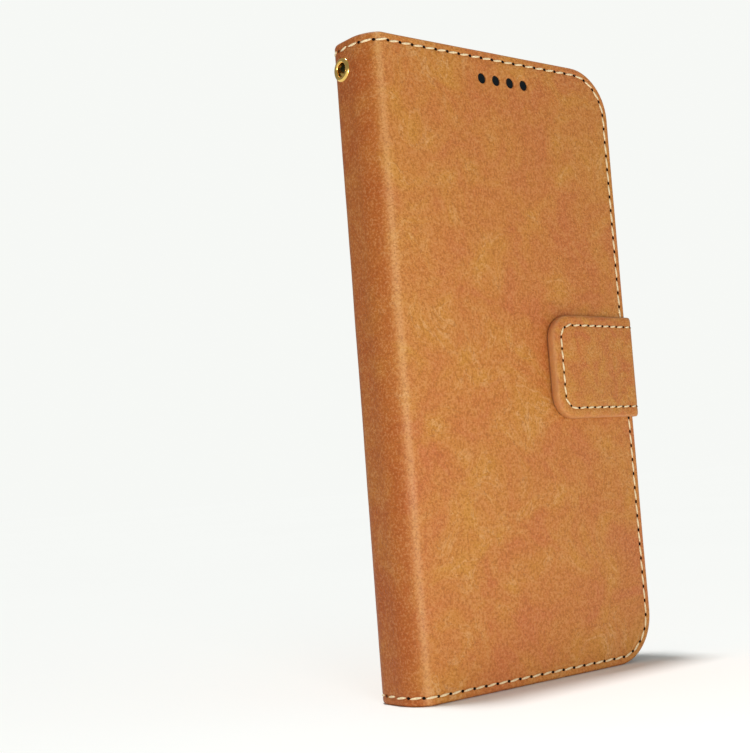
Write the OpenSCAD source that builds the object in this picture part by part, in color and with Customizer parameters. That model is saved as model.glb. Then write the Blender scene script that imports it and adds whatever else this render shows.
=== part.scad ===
// Folding phone wallet case with a magnetic strap, standing on its bottom edge.
// The cover opens on two leather creases, one each side of the spine; the strap opens on two more.
// X runs from the spine to the free edge, Y from the front cover to the back, Z up the phone.

/* [Case] */
// Height of the leather cover
case_h = 167; // [162:0.5:172]
// Width from the outer face of the spine to the free edge
case_w = 86; // [84:0.5:90]
// Closed thickness, front face to back face
case_t = 17; // [17:0.1:20]
// Radius of the two corners at the free edge
corner_r = 13.5; // [10:0.5:16]
// Outer radius of the two creases beside the spine
crease_r = 4.5; // [3:0.1:4.5]

/* [Leather] */
// Thickness of the outer leather
skin_t = 1; // [0.8:0.1:1]
// Thickness of the stiffening board
board_t = 0.8; // [0.6:0.1:0.8]
// Thickness of the inner lining
lining_t = 0.6; // [0.4:0.1:0.7]
// Width of the turned hem that frames each board
hem_w = 3; // [2.5:0.1:4]
// Distance from the edge to the outer side of the seam
seam_inset = 1.8; // [1.6:0.1:2]

/* [Phone] */
// Height of the space for the phone
phone_h = 161.2; // [158:0.2:161.2]
// Width of the space for the phone
phone_w = 78.4; // [77:0.1:78.4]
// Depth of the space for the phone
phone_t = 7.8; // [7.4:0.1:7.8]
// Radius of the phone's corners
phone_r = 12.6; // [10:0.2:13]
// Wall of the rubber tray
tray_wall = 1.4; // [1.2:0.1:1.4]
// Floor of the rubber tray
tray_floor = 1.1; // [0.9:0.1:1.1]
// How far the tray's lip reaches over the phone
lip_reach = 0.9; // [0.6:0.1:1.2]

/* [Camera window] */
// Width and height of the window in the leather
window = 39; // [36:0.5:40]
// Corner radius of the window
window_r = 11; // [8:0.5:13]
// Width of the rubber rim inside the window
rim_w = 1.2; // [0.9:0.1:1.4]

/* [Strap] */
// Height of the strap
strap_h = 28; // [24:0.5:30]
// Middle of the strap above the bottom edge
strap_mid = 82; // [76:0.5:90]
// How far the tab reaches over the front cover
tab_reach = 33; // [28:0.5:36]
// Thickness of the padded tab
tab_t = 3.2; // [3:0.1:3.4]
// Thickness of the strap beside the tray
strap_t = 1.6; // [1.4:0.1:2]

/* [Pockets] */
// Number of card pockets over the cash sleeve
card_pockets = 3; // [3:1:3]
// Step between one pocket's mouth and the next
pocket_step = 12; // [10:1:14]
// Thickness of one pocket layer
pocket_t = 0.45; // [0.3:0.05:0.45]

/* [Hidden] */
$fn = 64;

// Colours
tan = [0.72, 0.45, 0.24];
tan_dark = [0.56, 0.33, 0.17];
board_grey = [0.55, 0.52, 0.47];
rubber_blue = [0.17, 0.24, 0.30];
thread_cream = [0.93, 0.86, 0.70];
brass = [0.85, 0.68, 0.30];
steel = [0.60, 0.61, 0.63];

// Main planes of the closed case
x_edge = 42.4;
x_spine = x_edge - case_w;
y_back = 10;
y_front = y_back - case_t;
panel_t = skin_t + board_t + lining_t;
y_back_in = y_back - panel_t;
y_front_in = y_front + panel_t;
hem_t = skin_t + board_t;
over = 1;

// Seam: a groove in the outer leather with the thread lying in it
seam_w = 0.7;
seam_depth = 0.3;
thread_t = 0.25;
thread_w = 0.6;

// Clearances between parts that move against each other
gap = 0.3;
strap_gap = 0.2;
spine_end = panel_t + gap;
spine_t = skin_t + lining_t;

// Rubber tray
tray_in = 1.8;
tray_w = phone_w + 2 * tray_wall;
tray_h = phone_h + 2 * tray_wall;
tray_x1 = x_edge - tray_in;
tray_x0 = tray_x1 - tray_w;
tray_z0 = (case_h - tray_h) / 2;
lip_t = 1.1;
tray_t = tray_floor + phone_t + lip_t;
tray_edge_r = 2.4;

// Camera window, seen from behind at the top corner next to the free edge
window_x1 = x_edge - 5.5;
window_x0 = window_x1 - window;
window_z1 = case_h - 4.8;
window_z0 = window_z1 - window;
rim_gap = 0.3;
rim_sunk = 0.5;

// Strap, from its root under the back cover to the tab over the front cover
strap_z0 = strap_mid - strap_h / 2;
root_t = 1.6;
root_y = y_back_in - strap_gap;
band_x_in = x_edge + strap_gap;
band_x_out = band_x_in + strap_t;
tab_y_out = y_front - strap_gap - tab_t;
tab_x0 = x_edge - tab_reach;
tab_x1 = band_x_in - strap_gap;
tab_corner_r = 6.5;
tab_skin_t = 1;
tab_lining_t = 0.8;
tab_core_t = tab_t - tab_skin_t - tab_lining_t;
tab_seam_in = 2;
magnet_w = 14;
magnet_h = 12;
magnet_x = tab_x0 + 14;
anchor_len = 14;

// Sound holes over the earpiece
sound_holes = 4;
sound_r = 1.3;
sound_pitch = 5;
sound_x = 1.7;
sound_z = case_h - 7.7;

// Eyelet in the spine
eyelet_y = y_back - 5.4;
eyelet_z = case_h - 7.2;
eyelet_bore_r = 1.75;
eyelet_barrel_r = 2.1;
eyelet_flange_r = 3.1;
eyelet_flange_t = 0.5;
washer_r = 2.9;
washer_t = 0.4;
curl_r = 2.6;
curl_t = 0.3;

// Pockets on the inside of the front cover
pocket_x0 = x_spine + 8;
pocket_x1 = x_edge - 6;
pocket_z0 = 8;
sleeve_top = 128;
pocket_corner_r = 4;
notch_r = 9;

// Button pads and holes in the tray's sides
pad_w = 3.6;
pad_stand = 0.7;
pad_gap = 0.2;
button_y = y_back_in - tray_floor - phone_t / 2;
power_z = 112.8;
power_len = 22;
volume_len = 10;
volume_up_z = 118;
volume_down_z = 105;
mute_z = 131;
mute_len = 7;
cord_hole_r = 1.1;
cord_hole_z = 22.8;
cord_hole_pitch = 6.4;
cord_pad_len = 12;
cord_pad_w = 4.6;
cord_pad_depth = 0.4;
port_w = 13;
port_h = 5.6;
grille_w = 12;
grille_h = 2.6;
grille_x = 17;

// ---------- Shared shapes ----------

// A plate of the outline in XZ, from y_top towards the front by t
module slab(y_top, t) translate([0, y_top, 0]) rotate([90, 0, 0]) linear_extrude(t) children();

// Rectangle with all four corners round
module round_rect(x0, z0, x1, z1, r) {
    translate([x0 + r, z0]) square([x1 - x0 - 2 * r, z1 - z0]);
    translate([x0, z0 + r]) square([x1 - x0, z1 - z0 - 2 * r]);
    for (x = [x0 + r, x1 - r], z = [z0 + r, z1 - r]) translate([x, z]) circle(r);
}

// Rectangle with only the two corners at its right side round
module page(x0, inset, r = corner_r) {
    x1 = x_edge - inset;
    z0 = inset;
    z1 = case_h - inset;
    rr = r - inset;
    translate([x0, z0]) square([x1 - rr - x0, z1 - z0]);
    translate([x0, z0 + rr]) square([x1 - x0, z1 - z0 - 2 * rr]);
    for (z = [z0 + rr, z1 - rr]) translate([x1 - rr, z]) circle(rr);
}

// Line of the seam along the top, the free edge and the bottom of a page
module seam_line(x0, width) difference() {
    page(x0, seam_inset + (seam_w - width) / 2);
    page(x0 - over, seam_inset + (seam_w + width) / 2);
}

module camera_window(grow) round_rect(
    window_x0 - grow, window_z0 - grow, window_x1 + grow, window_z1 + grow, window_r + grow
);

module sound_row(r) for (k = [0 : sound_holes - 1])
    translate([sound_x + (k - (sound_holes - 1) / 2) * sound_pitch, sound_z]) circle(r);

// Stadium standing along Z, for the pads in the tray's sides
module stadium(z, len, w) {
    translate([-w / 2, z - len / 2 + w / 2]) square([w, len - w]);
    for (end = [-1, 1]) translate([0, z + end * (len - w) / 2]) circle(w / 2);
}

// A stadium prism through the tray's side, from x0 to x1, on the buttons' line
module side_plug(x0, x1, z, len, w) translate([x0, button_y, 0]) rotate([90, 0, 90])
    linear_extrude(x1 - x0) stadium(z, len, w);

// Rounds the outer corner of a crease; face is the cover's outer plane, dir points into it
module crease_cut(face, dir) difference() {
    translate([x_spine - over, face - (dir > 0 ? over : crease_r), -over])
        cube([crease_r + over, crease_r + over, case_h + 2 * over]);
    translate([x_spine + crease_r, face + dir * crease_r, -2 * over])
        cylinder(r = crease_r, h = case_h + 4 * over);
}

// Cover panel of outer leather: full sheet, turned hem round the board, thick corner at the crease
module cover_skin(outer, dir) difference() {
    union() {
        slab(dir > 0 ? outer + hem_t : outer, hem_t) page(x_spine, 0);
        translate([x_spine, dir > 0 ? outer : outer - panel_t, 0]) cube([hem_w, panel_t, case_h]);
    }
    slab(dir > 0 ? outer + hem_t + over : outer - skin_t, board_t + over) page(x_spine + hem_w, hem_w);
    slab(dir > 0 ? outer + seam_depth : outer + over, seam_depth + over) seam_line(x_spine - over, seam_w);
    crease_cut(outer, dir);
}

// ---------- Back cover and phone tray ----------

module strap_slot() translate([x_edge - anchor_len - over, y_back_in - over, strap_z0])
    cube([anchor_len + 2 * over, lining_t + board_t + over, strap_h]);

module back_skin() color(tan) difference() {
    cover_skin(y_back, -1);
    slab(y_back + over, panel_t + 2 * over) camera_window(0);
    strap_slot();
}

module back_board() color(board_grey) slab(y_back - skin_t, board_t) difference() {
    page(x_spine + hem_w, hem_w);
    camera_window(hem_w / 2);
    translate([x_edge - anchor_len, strap_z0]) square([anchor_len, strap_h]);
}

module back_lining() color(tan_dark) difference() {
    slab(y_back - hem_t, lining_t) difference() {
        page(x_spine + hem_w, 0);
        camera_window(0);
    }
    translate([x_edge - root_t, y_back_in - over, strap_z0])
        cube([root_t + over, lining_t + 2 * over, strap_h]);
}

module back_seam_thread() color(thread_cream)
    slab(y_back - seam_depth + thread_t, thread_t) seam_line(x_spine + crease_r, thread_w);

// Sewn-in end of the strap, between the outer leather and the lining
module strap_anchor() color(tan_dark) {
    translate([x_edge - anchor_len, y_back - hem_t, strap_z0]) cube([anchor_len, board_t, strap_h]);
    translate([x_edge - root_t, y_back_in, strap_z0]) cube([root_t, lining_t, strap_h]);
}

module tray_outline(inset) round_rect(
    tray_x0 + inset, tray_z0 + inset, tray_x1 - inset, tray_z0 + tray_h - inset,
    phone_r + tray_wall - inset
);

module port_slot(x, w, h) translate([x - w / 2 + h / 2, button_y, tray_z0 - over]) {
    cylinder(r = h / 2, h = tray_wall + 2 * over);
    translate([w - h, 0, 0]) cylinder(r = h / 2, h = tray_wall + 2 * over);
    translate([0, -h / 2, 0]) cube([w - h, h, tray_wall + 2 * over]);
}

module cord_holes() for (end = [-1, 1])
    translate([tray_x1 - tray_wall - over, button_y, cord_hole_z + end * cord_hole_pitch / 2])
        rotate([0, 90, 0]) cylinder(r = cord_hole_r, h = tray_wall + 2 * over);

module pad_hole(x0, x1, z, len) side_plug(x0, x1, z, len + 2 * pad_gap, pad_w + 2 * pad_gap);

module phone_tray() color(rubber_blue) difference() {
    union() {
        slab(y_back_in - tray_edge_r / 2, tray_t - tray_edge_r / 2) tray_outline(0);
        slab(y_back_in, tray_edge_r / 2) tray_outline(tray_edge_r / 4);
        slab(y_back - rim_sunk, panel_t - rim_sunk) camera_window(-rim_gap);
    }
    slab(y_back_in - tray_floor, phone_t) tray_outline(tray_wall);
    slab(y_back_in - tray_floor - over, tray_t) tray_outline(tray_wall + lip_reach);
    slab(y_back + over, panel_t + tray_floor + 2 * over) camera_window(-rim_gap - rim_w);
    pad_hole(tray_x1 - tray_wall - over, tray_x1 + over, power_z, power_len);
    for (z = [volume_up_z, volume_down_z])
        pad_hole(tray_x0 - over, tray_x0 + tray_wall + over, z, volume_len);
    side_plug(tray_x0 - over, tray_x0 + tray_wall + over, mute_z, mute_len, pad_w);
    side_plug(tray_x1 - cord_pad_depth, tray_x1 + over, cord_hole_z, cord_pad_len, cord_pad_w);
    cord_holes();
    port_slot((tray_x0 + tray_x1) / 2, port_w, port_h);
    for (side = [-1, 1]) port_slot((tray_x0 + tray_x1) / 2 + side * grille_x, grille_w, grille_h);
}

module button_pad(outer, side, z, len) color(rubber_blue) {
    x0 = side > 0 ? outer - tray_wall : outer - pad_stand;
    x1 = side > 0 ? outer + pad_stand : outer + tray_wall;
    side_plug(x0, x1, z, len, pad_w);
}

// Thin frame round the opening for the mute switch
module mute_switch_guard() color(rubber_blue) difference() {
    side_plug(tray_x0, tray_x0 + tray_wall, mute_z, mute_len, pad_w);
    side_plug(tray_x0 - over, tray_x0 + tray_wall + over, mute_z, mute_len - 1, pad_w - 1);
}

// ---------- Spine ----------

module eyelet_hole(r) translate([x_spine - over, eyelet_y, eyelet_z]) rotate([0, 90, 0])
    cylinder(r = r, h = spine_t + 2 * over);

module spine_wall(x0, t) translate([x0, y_front + spine_end, 0])
    cube([t, case_t - 2 * spine_end, case_h]);

module spine_seam(depth, width) for (z = [seam_inset, case_h - seam_inset - seam_w])
    translate([x_spine, y_front + crease_r, z + (seam_w - width) / 2])
        cube([depth, case_t - 2 * crease_r, width]);

module spine_skin() color(tan) difference() {
    spine_wall(x_spine, skin_t);
    translate([-over, 0, 0]) spine_seam(seam_depth + over, seam_w);
    eyelet_hole(eyelet_barrel_r);
    crease_cut(y_front, 1);
    crease_cut(y_back, -1);
}

module spine_lining() color(tan_dark) difference() {
    spine_wall(x_spine + skin_t, lining_t);
    eyelet_hole(eyelet_barrel_r);
}

module spine_seam_thread() color(thread_cream)
    translate([seam_depth - thread_t, 0, 0]) spine_seam(thread_t, thread_w);

module eyelet() color(brass) translate([x_spine, eyelet_y, eyelet_z]) rotate([0, 90, 0]) difference() {
    union() {
        translate([0, 0, -eyelet_flange_t]) cylinder(r = eyelet_flange_r, h = eyelet_flange_t);
        translate([0, 0, -eyelet_flange_t])
            cylinder(r = eyelet_barrel_r, h = eyelet_flange_t + spine_t + washer_t + curl_t);
        translate([0, 0, spine_t + washer_t]) cylinder(r = curl_r, h = curl_t);
    }
    translate([0, 0, -over]) cylinder(r = eyelet_bore_r, h = spine_t + 4 * over);
}

module eyelet_washer() color(brass) translate([x_spine + spine_t, eyelet_y, eyelet_z])
    rotate([0, 90, 0]) difference() {
        cylinder(r = washer_r, h = washer_t);
        translate([0, 0, -over]) cylinder(r = eyelet_barrel_r, h = washer_t + 2 * over);
    }

// ---------- Front cover ----------

module front_skin() color(tan) difference() {
    cover_skin(y_front, 1);
    slab(y_front + panel_t, panel_t + over) sound_row(sound_r);
}

module clasp_outline(grow) translate([magnet_x - magnet_w / 2 - grow, strap_mid - magnet_h / 2 - grow])
    square([magnet_w + 2 * grow, magnet_h + 2 * grow]);

module front_board() color(board_grey) slab(y_front + hem_t, board_t) difference() {
    page(x_spine + hem_w, hem_w);
    sound_row(sound_r + 0.6);
    clasp_outline(2);
}

module clasp_plate() color(steel) slab(y_front + hem_t, board_t) clasp_outline(1.5);

module front_lining() color(tan_dark) slab(y_front_in, lining_t) difference() {
    page(x_spine + hem_w, 0);
    sound_row(sound_r);
}

module front_seam_thread() color(thread_cream)
    slab(y_front + seam_depth, thread_t) seam_line(x_spine + crease_r, thread_w);

function pocket_top(k) = sleeve_top - k * pocket_step;

// Layer k of the stack: 0 is the cash sleeve, each card pocket lies on the one before
module pocket_layer(k) slab(y_front_in + (k + 1) * pocket_t, pocket_t) difference() {
    round_rect(pocket_x0, pocket_z0, pocket_x1, pocket_top(k), pocket_corner_r);
    if (k > 0) translate([(pocket_x0 + pocket_x1) / 2, pocket_top(k) + notch_r / 2]) circle(notch_r);
}

module pocket_seam_thread() color(thread_cream) for (k = [0 : card_pockets], side = [0, 1]) {
    low = k == card_pockets ? pocket_z0 + pocket_corner_r : pocket_top(k + 1) + 0.2;
    x = side == 0 ? pocket_x0 + 1.2 : pocket_x1 - 1.2 - thread_w;
    translate([x, y_front_in + (k + 1) * pocket_t, low])
        cube([thread_w, 0.15, pocket_top(k) - pocket_corner_r - low]);
}

// ---------- Strap ----------

function ease(u) = u * u * (3 - 2 * u);
// The strap's section beside the tray: side 0 is its inner face, 1 its outer face
band_y1 = tab_y_out + strap_t;
band_bend = 6;
band_steps = 12;
function band_u(y) = ease(min(1, max(0, (root_y - y) / band_bend)));
function band_x(y, side) = (x_edge - root_t + band_u(y) * (band_x_in - x_edge + root_t)) * (1 - side)
    + (x_edge + band_u(y) * (band_x_out - x_edge)) * side;
function band_ys() = [for (k = [0 : band_steps]) root_y - band_bend * k / band_steps];
function band_side(side) = [for (y = band_ys()) [band_x(y, side), y]];
function reversed(list) = [for (k = [len(list) - 1 : -1 : 0]) list[k]];

// A layer of the band from one depth to another, z0 to z1, ending square above the bend
module band_layer(side0, side1, z0, z1) translate([0, 0, z0]) linear_extrude(z1 - z0) polygon(concat(
    band_side(side0), [[band_x(band_y1, side0), band_y1], [band_x(band_y1, side1), band_y1]],
    reversed(band_side(side1))
));

// Quarter turn at the front end of the band, between two radii about the inner corner of the bend
module band_turn(r0, r1, z0, z1) translate([band_x_in, band_y1, z0]) intersection() {
    difference() {
        cylinder(r = r1, h = z1 - z0);
        if (r0 > 0) translate([0, 0, -over]) cylinder(r = r0, h = z1 - z0 + 2 * over);
    }
    translate([0, -strap_t - over, 0]) cube([strap_t + over, strap_t + over, z1 - z0]);
}

module strap_band_skin() color(tan) {
    band_layer(0.5, 1, strap_z0, strap_z0 + strap_h);
    band_turn(strap_t / 2, strap_t, strap_z0, strap_z0 + strap_h);
}

module strap_band_lining() color(tan_dark) {
    band_layer(0, 0.5, strap_z0, strap_z0 + strap_h);
    band_turn(0, strap_t / 2, strap_z0, strap_z0 + strap_h);
}

module strap_band_thread() color(thread_cream)
    for (z = [strap_z0 + tab_seam_in, strap_z0 + strap_h - tab_seam_in - thread_w])
        translate([0, 0, z]) linear_extrude(thread_w) polygon(concat(
            [for (p = band_side(1)) [p[0] + 0.2, p[1]]],
            [[band_x_out + 0.2, band_y1], [band_x_out, band_y1]],
            reversed(band_side(1))
        ));

// Outline of the tab: round corners at its tip, square at the bend
module tab_outline(inset, right = tab_x1) {
    r = tab_corner_r - inset;
    x0 = tab_x0 + inset;
    z0 = strap_z0 + inset;
    z1 = strap_z0 + strap_h - inset;
    translate([x0 + r, z0]) square([right - x0 - r, z1 - z0]);
    translate([x0, z0 + r]) square([r, z1 - z0 - 2 * r]);
    for (z = [z0 + r, z1 - r]) translate([x0 + r, z]) circle(r);
}

module magnet_outline(grow) translate([magnet_x - magnet_w / 2 - grow, strap_mid - magnet_h / 2 - grow])
    square([magnet_w + 2 * grow, magnet_h + 2 * grow]);

module strap_tab_skin() color(tan) difference() {
    slab(tab_y_out + tab_skin_t + tab_core_t, tab_skin_t + tab_core_t) tab_outline(0);
    slab(tab_y_out + tab_skin_t + tab_core_t + over, tab_core_t + over) tab_outline(hem_w, tab_x1 + over);
}

module strap_tab_padding() color(board_grey) slab(tab_y_out + tab_skin_t + tab_core_t, tab_core_t)
    difference() {
        tab_outline(hem_w);
        magnet_outline(0);
    }

module strap_magnet() color(steel) slab(tab_y_out + tab_skin_t + tab_core_t, tab_core_t) magnet_outline(0);

module strap_tab_lining() color(tan_dark) slab(tab_y_out + tab_t, tab_lining_t) tab_outline(0);

module strap_tab_thread() color(thread_cream) slab(tab_y_out, 0.2) difference() {
    tab_outline(tab_seam_in);
    tab_outline(tab_seam_in + thread_w, tab_x1 + over);
}

// ---------- Assembly ----------

back_skin();
back_board();
back_lining();
back_seam_thread();
strap_anchor();
phone_tray();
spine_skin();
spine_lining();
spine_seam_thread();
eyelet();
eyelet_washer();
front_skin();
front_board();
front_lining();
front_seam_thread();
clasp_plate();
color(tan) pocket_layer(0);  // cash_sleeve
color(tan_dark) pocket_layer(1);  // card_pocket_1
color(tan) pocket_layer(2);  // card_pocket_2
color(tan_dark) pocket_layer(3);  // card_pocket_3
pocket_seam_thread();
strap_band_skin();
strap_band_lining();
strap_band_thread();
strap_tab_skin();
strap_tab_padding();
strap_tab_lining();
strap_tab_thread();
strap_magnet();
button_pad(tray_x1, 1, power_z, power_len);  // power_button_pad
button_pad(tray_x0, -1, volume_up_z, volume_len);  // volume_up_pad
button_pad(tray_x0, -1, volume_down_z, volume_len);  // volume_down_pad
mute_switch_guard();
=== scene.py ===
"""Phone wallet case: leather cover, strap, tray and eyelet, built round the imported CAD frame.

Sizes are in millimetres, and a mesh is scaled to metres when it is made. X runs from the spine to
the free edge, Y from the front cover to the back, Z up.
"""

import logging
import math
from collections.abc import Callable, Sequence
from dataclasses import dataclass, field, replace
from enum import Enum

import bmesh
import bpy
from mathutils import Matrix, Vector, noise


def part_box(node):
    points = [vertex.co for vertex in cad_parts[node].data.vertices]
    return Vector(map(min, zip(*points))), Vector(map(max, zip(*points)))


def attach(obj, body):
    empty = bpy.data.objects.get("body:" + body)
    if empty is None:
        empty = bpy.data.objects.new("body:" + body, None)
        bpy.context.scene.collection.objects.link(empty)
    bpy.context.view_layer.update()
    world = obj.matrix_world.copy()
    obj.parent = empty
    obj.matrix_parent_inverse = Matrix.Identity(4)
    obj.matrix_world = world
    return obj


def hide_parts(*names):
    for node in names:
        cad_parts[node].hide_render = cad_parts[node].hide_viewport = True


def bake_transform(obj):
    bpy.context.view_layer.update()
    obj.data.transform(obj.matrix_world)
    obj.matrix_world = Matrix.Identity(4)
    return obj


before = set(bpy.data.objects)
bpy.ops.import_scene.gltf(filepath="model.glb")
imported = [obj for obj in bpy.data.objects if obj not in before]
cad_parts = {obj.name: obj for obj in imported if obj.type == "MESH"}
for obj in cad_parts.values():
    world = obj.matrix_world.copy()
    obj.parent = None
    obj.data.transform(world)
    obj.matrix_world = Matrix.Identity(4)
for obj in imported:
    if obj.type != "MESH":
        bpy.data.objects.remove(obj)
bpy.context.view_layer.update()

MM = 0.001
SHARP_ANGLE = math.radians(42)
INNER_INSET = 9.0  # counts as far from every edge and seam
SEAM_STEP = 0.6  # between the points of a seam's line
SPACING_SLACK = 0.9999  # keeps rounding from dropping a row's last stitch
LOG = logging.getLogger("wallet_case")

Point2 = tuple[float, float]
PathPoint = tuple[Vector, Vector]
EYELET_PLACE: Point2 = (4.6, 159.8)


class Side(Enum):
    """The two covers, by the direction that leads into the case along Y."""

    FRONT = 1
    BACK = -1


class Slot(Enum):
    """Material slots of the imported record."""

    OUTER = "outer_leather"
    INNER = "inner_leather"
    THREAD = "thread"
    TRAY = "tray_rubber"
    BRASS = "gold_brass"


# ---------------------------------------------------------------- small helpers


def smooth(u: float) -> float:
    """Smooth step from 0 to 1 as u goes from 0 to 1."""
    u = min(1.0, max(0.0, u))
    return u * u * (3 - 2 * u)


def node_box(name: str) -> tuple[Vector, Vector]:
    """Lowest and highest corner of a CAD node, in millimetres."""
    low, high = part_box(name)
    return Vector(low) / MM, Vector(high) / MM


@dataclass(frozen=True)
class CaseSizes:
    """Main planes of the closed case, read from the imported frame."""

    edge: float = node_box("front_skin")[1].x
    spine: float = node_box("spine_skin")[0].x
    front: float = node_box("front_skin")[0].y
    back: float = node_box("back_skin")[1].y
    height: float = node_box("front_skin")[1].z
    corner: float = 13.5
    panel: float = 2.4
    spine_wall: float = 1.6

    @property
    def middle(self) -> float:
        """Depth at which the spine's two halves meet."""
        return (self.front + self.back) / 2


# ---------------------------------------------------------------- node trees


class Graph:
    """Adds and links the nodes of one tree."""

    def __init__(self, tree: bpy.types.NodeTree) -> None:
        """Keep the tree."""
        self.tree = tree

    def add(self, kind: str, inputs: dict | None = None, **settings: object) -> bpy.types.Node:
        """Add a node.

        Args:
            kind: the node's type.
            inputs: values or output sockets for the node's inputs, by name or number.
            settings: the node's own settings.

        Returns:
            The new node.
        """
        node = self.tree.nodes.new(kind)
        for name, value in settings.items():
            setattr(node, name, value)
        for key, value in (inputs or {}).items():
            if isinstance(value, bpy.types.NodeSocket):
                self.tree.links.new(value, node.inputs[key])
            else:
                node.inputs[key].default_value = value
        return node

    def feed(self, node: bpy.types.Node, name: str, value: bpy.types.NodeSocket) -> None:
        """Link a socket to a node's input."""
        self.tree.links.new(value, node.inputs[name])

    def math(self, operation: str, a: object, b: object = 0.0) -> bpy.types.NodeSocket:
        """Combine two values or sockets with a Math node and return its output."""
        return self.add("ShaderNodeMath", {0: a, 1: b}, operation=operation).outputs[0]

    def times(self, a: object, b: object) -> bpy.types.NodeSocket:
        """Multiply two values or sockets and return the output socket."""
        return self.math("MULTIPLY", a, b)

    def span(
        self, value: object, low: float, high: float, to_low: float = 0.0, to_high: float = 1.0
    ) -> bpy.types.NodeSocket:
        """Map a value from one range to another, clamped, and return the output socket."""
        names = {"Value": value, "From Min": low, "From Max": high, "To Min": to_low, "To Max": to_high}
        return self.add("ShaderNodeMapRange", names).outputs["Result"]

    def blend(self, factor: object, first: object, second: object) -> bpy.types.NodeSocket:
        """Mix two colours and return the output socket."""
        return self.add("ShaderNodeMix", {0: factor, 6: first, 7: second}, data_type="RGBA").outputs[2]

    def place(self) -> bpy.types.NodeSocket:
        """Object coordinates, in metres."""
        return self.add("ShaderNodeTexCoord").outputs["Object"]

    def mark(self, name: str) -> bpy.types.NodeSocket:
        """A mesh's own attribute as a factor."""
        return self.add("ShaderNodeAttribute", attribute_name=name).outputs["Fac"]

    def noise(self, place: object, scale: object, detail: float, **more: float) -> bpy.types.NodeSocket:
        """Noise from 0 to 1.

        Args:
            place: where it is read.
            scale: its scale.
            detail: its detail.
            more: the node's other inputs, by name in lower case.

        Returns:
            The output socket.
        """
        inputs = {"Vector": place, "Scale": scale, "Detail": detail}
        inputs |= {key.capitalize(): value for key, value in more.items()}
        return self.add("ShaderNodeTexNoise", inputs).outputs["Fac"]

    def bump(self, shader: bpy.types.Node, height: object, strength: float, distance: float) -> None:
        """Give a shader the relief of a height from 0 to 1, distance metres high."""
        inputs = {"Strength": strength, "Distance": distance, "Height": height}
        self.feed(shader, "Normal", self.add("ShaderNodeBump", inputs).outputs["Normal"])


def add_sockets(tree: bpy.types.NodeTree, direction: str, sockets: dict[str, tuple[str, object]]) -> None:
    """Declare a tree's inputs or outputs.

    Args:
        tree: the tree.
        direction: INPUT or OUTPUT.
        sockets: socket type and default value, or None, by name.
    """
    for name, (kind, value) in sockets.items():
        socket = tree.interface.new_socket(name=name, in_out=direction, socket_type="NodeSocket" + kind)
        if value is not None:
            socket.default_value = value


def hide_group() -> bpy.types.NodeTree:
    """Leather's clouds of tone, flecks and pebble grain, shared by every leather.

    Returns:
        A shader group with the outputs Cloud, Patch, Fleck, Vein and Height, all from 0 to 1.
    """
    tree = bpy.data.node_groups.new("Hide", "ShaderNodeTree")
    add_sockets(
        tree,
        "INPUT",
        {"Vector": ("Vector", None), "Cloud Scale": ("Float", 40.0), "Grain Scale": ("Float", 1200.0)},
    )
    names = ("Cloud", "Patch", "Fleck", "Vein", "Height")
    add_sockets(tree, "OUTPUT", {name: ("Float", None) for name in names})
    graph = Graph(tree)
    given = graph.add("NodeGroupInput").outputs
    place, cloud_scale, grain_scale = given["Vector"], given["Cloud Scale"], given["Grain Scale"]

    cloud = graph.noise(place, cloud_scale, 4.0, roughness=0.55)
    patch_scale = graph.times(cloud_scale, 4.3)
    patch = graph.noise(place, patch_scale, 3.0, roughness=0.6, distortion=0.6)
    ridge = graph.noise(place, patch_scale, 5.0, roughness=0.62, distortion=2.2)
    crack = graph.span(graph.math("ABSOLUTE", graph.math("SUBTRACT", ridge, 0.5)), 0.0, 0.022, 1.0, 0.0)
    vein = graph.times(crack, graph.span(patch, 0.48, 0.62))
    fleck_scale = graph.times(grain_scale, 0.8)
    fleck = graph.noise(place, fleck_scale, 3.5, roughness=0.7)
    warp = graph.add("ShaderNodeTexNoise", {"Vector": place, "Scale": fleck_scale, "Detail": 1.0})
    nudge = graph.add(
        "ShaderNodeVectorMath", {0: warp.outputs["Color"], "Scale": 0.0005}, operation="SCALE"
    )
    moved = graph.add("ShaderNodeVectorMath", {0: place, 1: nudge.outputs[0]}, operation="ADD")
    pebble = graph.add(
        "ShaderNodeTexVoronoi",
        {"Vector": moved.outputs[0], "Scale": grain_scale, "Smoothness": 0.6},
        feature="SMOOTH_F1",
    ).outputs["Distance"]
    hill = graph.span(pebble, 0.0, 0.75, 1.0, 0.0)
    height = graph.math("ADD", graph.times(hill, 0.45), graph.times(fleck, 0.55))
    out = graph.add("NodeGroupOutput")
    results = (
        graph.span(cloud, 0.33, 0.67),
        graph.span(patch, 0.35, 0.68),
        graph.span(fleck, 0.36, 0.64),
        vein,
        height,
    )
    for name, value in zip(names, results):
        tree.links.new(value, out.inputs[name])
    return tree


# ---------------------------------------------------------------- finishes


@dataclass(frozen=True)
class Finish:
    """What every finish has: a name, a colour and a roughness."""

    name: str
    colour: tuple[float, float, float]
    roughness: float = 0.5

    def rgba(self, factor: float = 1.0) -> tuple[float, float, float, float]:
        """The colour with alpha, made darker or lighter by factor."""
        return (*(channel * factor for channel in self.colour), 1.0)

    def start(self) -> tuple[bpy.types.Material, Graph, bpy.types.Node]:
        """Make the material.

        Returns:
            The material, its graph with the default nodes, and the Principled shader.
        """
        material = bpy.data.materials.new(self.name)
        material.use_nodes = True
        shader = next(n for n in material.node_tree.nodes if n.type == "BSDF_PRINCIPLED")
        shader.inputs["Base Color"].default_value = self.rgba()
        shader.inputs["Roughness"].default_value = self.roughness
        return material, Graph(material.node_tree), shader


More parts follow.
